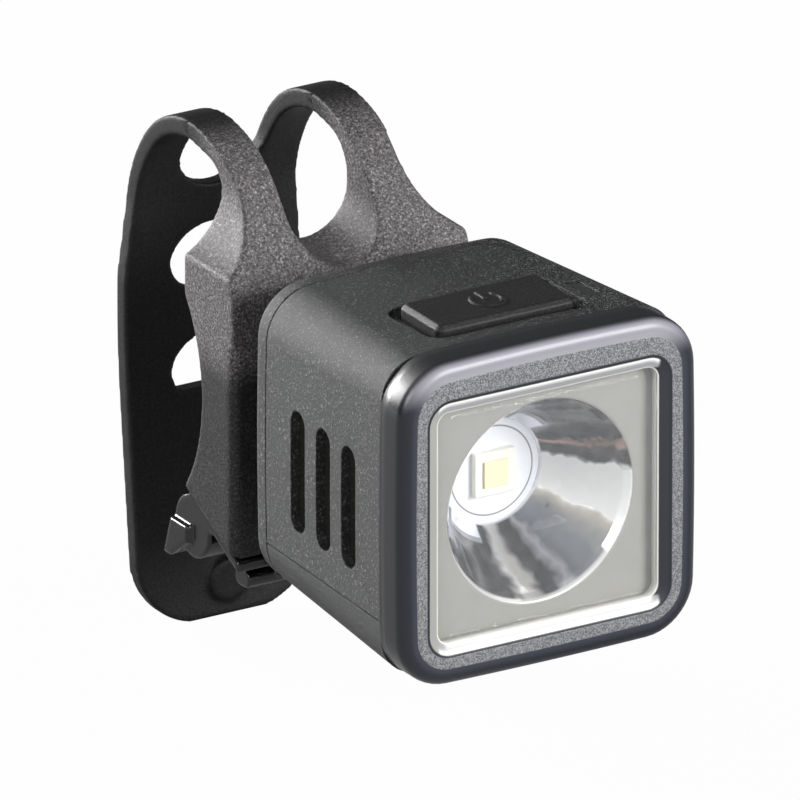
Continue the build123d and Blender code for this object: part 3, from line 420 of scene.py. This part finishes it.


# The lens: a clear smoked cap with a deep skirt, rounded front edges, a frosted band
# moulded into its face, and a bevel round the sunk window with painted highlights and shade.
cap_half, cap_top, cap_bottom, cap_corner = 16.5, 17.0, 16.1, 5.2
cap_bows = (0.25, 0.4, 0.2)
cap_wall = 1.85
edge_radius = 1.2
face_y, face_inset = -1.8, 1.75
skirt_end = 2.24
window_half, window_rise, window_corner = 12.1, 11.7, 1.2
window_y, window_back_y = -1.35, -0.4
bevel_growth = 1.35
pane_thickness = 0.2


def lens_ring(inset, y):
    """The cap's outline drawn in by an inset, at a station behind its flange, in millimetres."""
    corner = max(cap_corner - inset, 0.9)
    ring = square_ring(cap_half - inset, cap_top - inset, cap_bottom - inset, corner, cap_bows)
    return at_station(ring, beam_y + y)


def window_ring(growth, y):
    """The window's outline grown by an amount, at a station, in millimetres."""
    rise = window_rise + growth
    return at_station(square_ring(window_half + growth, rise, rise, window_corner + growth), beam_y + y)


# Each row of the cap has a station and a band: the millimetres in from its outline, below
# zero on the skirt, which tell its colours where the skirt, the rounding and the frost lie.
cap_rows = [lens_ring(0.12, skirt_end), lens_ring(0.0, skirt_end - 0.12), lens_ring(0.0, 1.0)]
cap_bands = [-0.6, -0.4, -0.2]
for turn in np.linspace(0, np.pi / 2, 9):
    inset = edge_radius - edge_radius * np.cos(turn)
    cap_rows.append(lens_ring(inset, face_y + edge_radius - edge_radius * np.sin(turn)))
    cap_bands.append(inset)
cap_rows.append(lens_ring(1.6, face_y))
cap_bands.append(1.6)
for step in np.linspace(0, 1, 8):
    cap_rows.append(lens_ring(face_inset, face_y) * (1 - step) + window_ring(bevel_growth, face_y) * step)
    cap_bands.append(face_inset + bevel_growth * step)
bevel_line = [(1.2, -1.77, 3.3), (0.15, -1.4, 4.25), (0.0, window_y, 4.4), (0.0, window_back_y, 4.6)]
for growth, y, band in bevel_line:
    cap_rows.append(window_ring(growth, y))
    cap_bands.append(band)
cap_rows += [lens_ring(cap_wall, window_back_y), lens_ring(cap_wall, skirt_end)]
cap_bands += [4.8, 5.0]
lens_cap = skin(
    "lens_cap", np.stack(cap_rows), "light", round_rows=True,
    attributes=[("band", np.array(cap_bands)[:, None])],
)
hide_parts("front_lens")

smoke = Finish("smoked_cap", tint(30, 32, 40), 0.12, 0.0, **{"Coat Weight": 0.25, "Coat Roughness": 0.25})
across, _, up = smoke.axes(smoke.place)
up = up - beam_z
band = smoke.node("ShaderNodeAttribute", {"attribute_name": "band"}, {}, "Fac")
speckle = smoke.grain(7.0, 4.0, 0.75)
skirt = smoke.blend(speckle.rise(0.45, 0.7) * 0.5, tint(24, 25, 28), tint(60, 62, 66))
# Painted light: the rounding and the flat face outside the frost turn paler towards the top.
upper = up.rise(12.5, 15.5)
rounded = smoke.blend(upper, tint(26, 28, 37), tint(132, 131, 140))
colour = smoke.blend(band.rise(0.0, 0.4), skirt, rounded)
face_lit_above = smoke.blend(upper, tint(50, 52, 62), tint(146, 145, 152))
colour = smoke.blend(band.rise(0.9, 1.7), colour, face_lit_above)
frost = smoke.blend(speckle.rise(0.38, 0.66), tint(66, 68, 73), tint(150, 151, 153))
frosted = band.rise(1.72, 1.85) * (1 - band.rise(2.95, 3.1))
colour = smoke.blend(frosted, colour, frost)
colour = smoke.blend(band.rise(2.98, 3.12), colour, tint(34, 36, 42))
# Painted light on the window's bevel: white highlights along its top and bottom, its left side painted lit
# grey and its right side painted in shade.
level_strip = up.size().rise(11.5, 11.8) * (1 - across.size().rise(11.95, 12.35))
strip = smoke.blend(band.rise(3.4, 3.9) * (1 - upper), tint(240, 240, 236), tint(150, 151, 154))
upright = smoke.blend(across.rise(11.0, 11.5), tint(150, 150, 147), tint(40, 42, 48))
bevel = smoke.blend(level_strip, upright, strip)
colour = smoke.blend(band.rise(3.3, 3.45), colour, bevel)
# Painted highlight: the window's inner wall in light grey, a thin light line round the window.
colour = smoke.blend(band.rise(4.2, 4.3), colour, tint(214, 213, 208))
smoke.feed("Base Color", colour)
smoke.feed("Roughness", frosted * 0.25 + upper * 0.2 + 0.25)
smoke.relief(speckle * frosted, 0.05)
lens_cap.data.materials.append(smoke.material)

pane_edge = window_ring(0.0, window_y)
pane_centre = np.array([0.0, beam_y + window_y, beam_z])
share = np.array([0.0, 0.1, 0.4, 0.7, 0.98])[:, None, None]
pane_front = pane_edge * (1 - share) + pane_centre * share
pane_back = pane_front[::-1] + [0, pane_thickness, 0]
pane = skin("lens_window", np.concatenate([pane_front, pane_back]), "light", round_rows=True)
clear = Finish("clear_window", tint(236, 238, 242), 0.03, 0.0, Alpha=0.08)
clear.feed("Alpha", clear.grain(0.8).rise(0.2, 0.9) * 0.03 + 0.05)
pane.data.materials.append(clear.material)

seal = Finish("silicone_seal", tint(30, 30, 31), 0.6)
seal.relief(seal.grain(8.0), 0.01)
dress(seal, "lens_seal")


# The electronics: green control and charging boards on posts, an amber flat cable
# between them, a tactile switch, a status light and insulated leads to cell and light.
solder_mask = Finish("solder_mask", tint(28, 84, 58), 0.32)
across, along, _ = solder_mask.axes(solder_mask.place)
tracks = (across * 1.6).maths("PINGPONG", 0.5).rise(0.28, 0.34)
tracks = tracks * (along * 0.45).maths("PINGPONG", 0.5).rise(0.1, 0.14)
solder_mask.feed("Base Color", solder_mask.blend(tracks * 0.6, tint(24, 76, 52), tint(52, 122, 84)))
solder_mask.relief(tracks, 0.03)
dress(solder_mask, "main_board", "charge_board")

polyimide = Finish("polyimide", tint(172, 96, 30), 0.3)
along = polyimide.axes(polyimide.place)[1]
copper = (along * 1.5).maths("PINGPONG", 0.5).rise(0.2, 0.3)
polyimide.feed("Base Color", polyimide.blend(copper, tint(166, 88, 26), tint(204, 128, 52)))
polyimide.relief(copper, 0.02)
dress(polyimide, "board_flex")

wire_cover = Finish("wire_cover", tint(150, 24, 22), 0.4)
across = wire_cover.axes(wire_cover.place)[0]
wire_cover.feed("Base Color", wire_cover.blend(across.rise(-0.1, 0.1), tint(26, 26, 27), tint(166, 28, 24)))
wire_cover.relief(wire_cover.grain(5.0), 0.02, 0.1)
dress(wire_cover, "battery_leads", "led_leads")

knob = Finish("switch_plunger", tint(30, 30, 32), 0.4)
knob.relief(knob.grain(6.0), 0.02, 0.15)
dress(knob, "switch_plunger")
chip = Finish("status_led", tint(226, 226, 214), 0.35)
chip.relief(chip.grain(8.0), 0.02, 0.1)
dress(chip, "status_led")
diffuser = Finish("indicator_lens", tint(64, 66, 66), 0.3, 0.0, **{"Transmission Weight": 0.35})
diffuser.relief(diffuser.grain(3.0), 0.04, 0.2)
dress(diffuser, "indicator_lens")


# The battery: one lithium polymer pouch in a satin blue-grey film, with taped edges,
# held between two grey foam pads.
pouch = Finish("pouch_film", tint(150, 160, 172), 0.32, 0.55)
cell_middle = 1.4
up = pouch.axes(pouch.place)[2]
tape = (up - cell_middle).size().rise(7.2, 7.35)
pouch.feed("Base Color", pouch.blend(tape, tint(150, 160, 172), tint(198, 160, 60)))
pouch.feed("Metallic", 0.55 - tape * 0.5)
pouch.relief(pouch.grain(0.5, 4.0), 0.12, 0.6)
dress(pouch, "battery")

foam = Finish("foam", tint(62, 64, 66), 0.95)
cells = foam.grain(4.5, 5.0, 0.8)
foam.feed("Base Color", foam.blend(cells, tint(40, 42, 43), tint(92, 94, 96)))
foam.relief(cells, 0.12)
dress(foam, "front_foam_pad", "rear_foam_pad")


# The casing: a housing moulded in dark plastic with a fine spark-eroded texture, a belly
# cover snapped in under it, and a cap screwed on behind.
def speckled(finish, noise, shades):
    """Colour with specks of three shades, from a soft noise."""
    dark, middle_shade, pale = [tint(*shade) for shade in shades]
    colour = finish.blend(noise.rise(0.40, 0.54), dark, middle_shade)
    return finish.blend(noise.rise(0.54, 0.66), colour, pale)


def textured(name, shades, edge_shade):
    """Spark-eroded black plastic: specks of three shades, with broad paler patches."""
    finish = Finish(name, tint(*shades[1]), 0.5, 0.0, **{"Specular IOR Level": 0.4})
    fine, broad = finish.grain(3.6, 5.0, 0.8), finish.grain(0.12, 2.0)
    colour = finish.blend(broad.rise(0.35, 0.7) * 0.12, speckled(finish, fine, shades), tint(*edge_shade))
    finish.feed("Base Color", colour)
    finish.feed("Roughness", fine.rise(0.3, 0.7) * 0.18 + 0.42)
    finish.relief(fine, 0.12, 0.25)
    return finish


shell = textured("textured_shell", [(13, 14, 14), (34, 35, 35), (138, 140, 140)], (48, 50, 50))
dress(shell, "main_housing", "rear_cap")
belly = textured("textured_belly", [(22, 23, 24), (38, 39, 40), (80, 81, 82)], (50, 51, 51))
dress(belly, "bottom_cover")


# The seam seal: a dark ring that closes the seam between the housing and the cap behind
# it, set in from their skin.
seam_half, seam_top, seam_bottom, seam_corner = 15.1, 15.6, 15.0, 4.0
seal_outset, seal_inset = 0.7, 2.2
seal_front, seal_back = -31.6, -31.05
seal_corners = [
    (seal_outset, seal_front), (seal_outset, seal_back), (seal_inset, seal_back), (seal_inset, seal_front)
]
seal_rows = [
    at_station(square_ring(seam_half - inset, seam_top - inset, seam_bottom - inset, seam_corner - inset), y)
    for inset, y in seal_corners
]
seam_seal = skin("seam_seal", np.stack(seal_rows), "light", round_rows=True)
seam_seal.data.materials.append(seal.material)


# The side windows: smoked clear plastic behind the slots of the housing, welded in from
# the inside.
tinted = Finish("smoked_window", tint(34, 36, 31), 0.14, 0.0, **{"Coat Weight": 0.4})
film = tinted.grain(0.7)
tinted.feed("Base Color", tinted.blend(film, tint(28, 30, 26), tint(44, 46, 40)))
tinted.feed("Roughness", film * 0.1 + 0.1)
tinted.relief(film, 0.05, 0.1)
dress(tinted, "side_window_right", "side_window_left")


# The power button: a soft rubber key under the housing's top, held by its flange, with a
# raised power symbol.
def fused(names, voxel, passes):
    """CAD nodes merged into one closed skin of even small quads, a voxel apart in
    millimetres, then smoothed so that every sharp edge becomes a small radius."""
    whole = bmesh.new()
    for name in names:
        whole.from_mesh(nodes[name].data)
    bmesh.ops.remove_doubles(whole, verts=whole.verts, dist=0.005 * mm)
    rough = bpy.data.meshes.new("rough")
    whole.to_mesh(rough)
    whole.free()
    former = bpy.data.objects.new("rough", rough)
    bpy.context.scene.collection.objects.link(former)
    even = former.modifiers.new("even", "REMESH")
    even.mode, even.voxel_size, even.use_smooth_shade = "VOXEL", voxel * mm, True
    smooth = former.modifiers.new("smooth", "SMOOTH")
    smooth.factor, smooth.iterations = 0.5, passes
    graph = bpy.context.evaluated_depsgraph_get()
    mesh = bpy.data.meshes.new_from_object(former.evaluated_get(graph))
    bpy.data.objects.remove(former)
    bpy.data.meshes.remove(rough)
    return mesh


def stands_for(mesh, name, body, material):
    """Puts a mesh on the scene as the visible piece of a CAD node."""
    mesh.name = name + "_soft"
    mesh.shade_smooth()
    mesh.set_sharp_from_angle(angle=np.radians(55))
    mesh.materials.clear()
    mesh.materials.append(material)
    made = bpy.data.objects.new(name + "_soft", mesh)
    bpy.context.scene.collection.objects.link(made)
    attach(made, body)
    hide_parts(name)


def rubber(name, shades, depth):
    """Matt rubber with a fine speckle: its finish, the noise and the colour made from it."""
    finish = Finish(name, tint(*shades[1]), 0.5, 0.0, **{"Specular IOR Level": 0.25})
    fine, broad = finish.grain(3.8, 5.0, 0.8), finish.grain(0.2, 2.0)
    colour = speckled(finish, fine, shades)
    finish.feed("Base Color", colour)
    finish.feed("Roughness", broad * 0.12 + 0.44)
    finish.relief(fine, depth)
    return finish, fine, colour


key_rubber = rubber("key_rubber", [(24, 24, 25), (36, 36, 37), (58, 58, 59)], 0.03)[0]
stands_for(fused(["power_button"], 0.11, 3), "power_button", "button", key_rubber.material)


# The port cover: a rubber flap under the belly, moulded with the bead that it swings
# round and a plug that closes the charging socket.
stands_for(fused(["port_cover"], 0.12, 3), "port_cover", "port_flap", key_rubber.material)


# The bracket: a hard black base under the strap's saddle, with a channel that the head's
# rail slides down into, and two ears for the latch's pin.
# Its specks are near black, darker than the housing's: black plastic with the shade of the gap between the
# saddle and the head painted in.
bracket_black_and_shade = textured("bracket_black_and_shade", [(8, 8, 8), (14, 14, 14), (26, 26, 26)], (18, 18, 18))
dress(bracket_black_and_shade, "mount_bracket")


# The release latch: one glossy black nylon moulding that turns on the bracket's pin, a
# nose that catches the mount and a ribbed tab for the thumb.
nylon = Finish("glossy_nylon", tint(16, 16, 17), 0.2, 0.0, **{"Coat Weight": 0.4, "Coat Roughness": 0.06})
flow = nylon.grain(0.6, 3.0)
nylon.feed("Base Color", nylon.blend(flow, tint(12, 12, 13), tint(22, 22, 23)))
nylon.feed("Roughness", flow * 0.12 + 0.14)
nylon.relief(nylon.grain(2.5, 3.0), 0.02)
stands_for(fused(["release_latch"], 0.14, 3), "release_latch", "latch", nylon.material)


# The hook: glossy black nylon with two round cheeks, screwed to the strap's saddle; the
# ladder's holes are pulled over its lip.
stands_for(fused(["strap_hook"], 0.18, 4), "strap_hook", "light", nylon.material)


# The strap: one soft black rubber moulding, a saddle that sits on the bar, two arms that
# rise from it over the bar, and a ladder of holes behind. It is cut where the ladder swings.
# Painted light and shade: the rubber's shades are pale, as on the lit fronts of the arms; further back
# towards the ladder and lower down it is painted near black as shade.
strap_shades = [(50, 48, 49), (98, 95, 97), (170, 166, 169)]
strap_rubber, specks, painted_lit_colour = rubber("strap_rubber", strap_shades, 0.05)
_, along, up = strap_rubber.axes(strap_rubber.place)
painted_shade_colour = strap_rubber.blend(specks.rise(0.4, 0.66), tint(9, 9, 9), tint(30, 30, 30))
lower = 1 - up.rise(2.5, 6.5)
painted_shade_share = along.rise(-13.0, -6.5).maths("MAXIMUM", lower * 0.85)
strap_rubber.feed("Base Color", strap_rubber.blend(painted_shade_share, painted_lit_colour, painted_shade_colour))
strap = fused(["strap_saddle", "strap_ladder"], 0.23, 8)
ladder_low, ladder_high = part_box("strap_ladder")
crest_y, crest_z = ladder_low.y, ladder_high.z
swing = np.radians(75)
for name, body, front in (("strap_saddle", "light", True), ("strap_ladder", "strap", False)):
    half = bmesh.new()
    half.from_mesh(strap)
    cut = bmesh.ops.bisect_plane(
        half, geom=[*half.verts, *half.edges, *half.faces], plane_co=(0, crest_y, 0),
        plane_no=(0, 1, 0), clear_inner=not front, clear_outer=front,
    )
    rims = [edge for edge in cut["geom_cut"] if isinstance(edge, bmesh.types.BMEdge)]
    ends = bmesh.ops.holes_fill(half, edges=rims)["faces"]
    if front:
        # The fold under the crest: rubber that the ladder uncovers as it swings back.
        bmesh.ops.spin(
            half, geom=ends, cent=(0, crest_y, crest_z), axis=(1, 0, 0), angle=swing, steps=10
        )
    bmesh.ops.recalc_face_normals(half, faces=half.faces)
    mesh = bpy.data.meshes.new(name)
    half.to_mesh(mesh)
    half.free()
    stands_for(mesh, name, body, strap_rubber.material)
bpy.data.meshes.remove(strap)
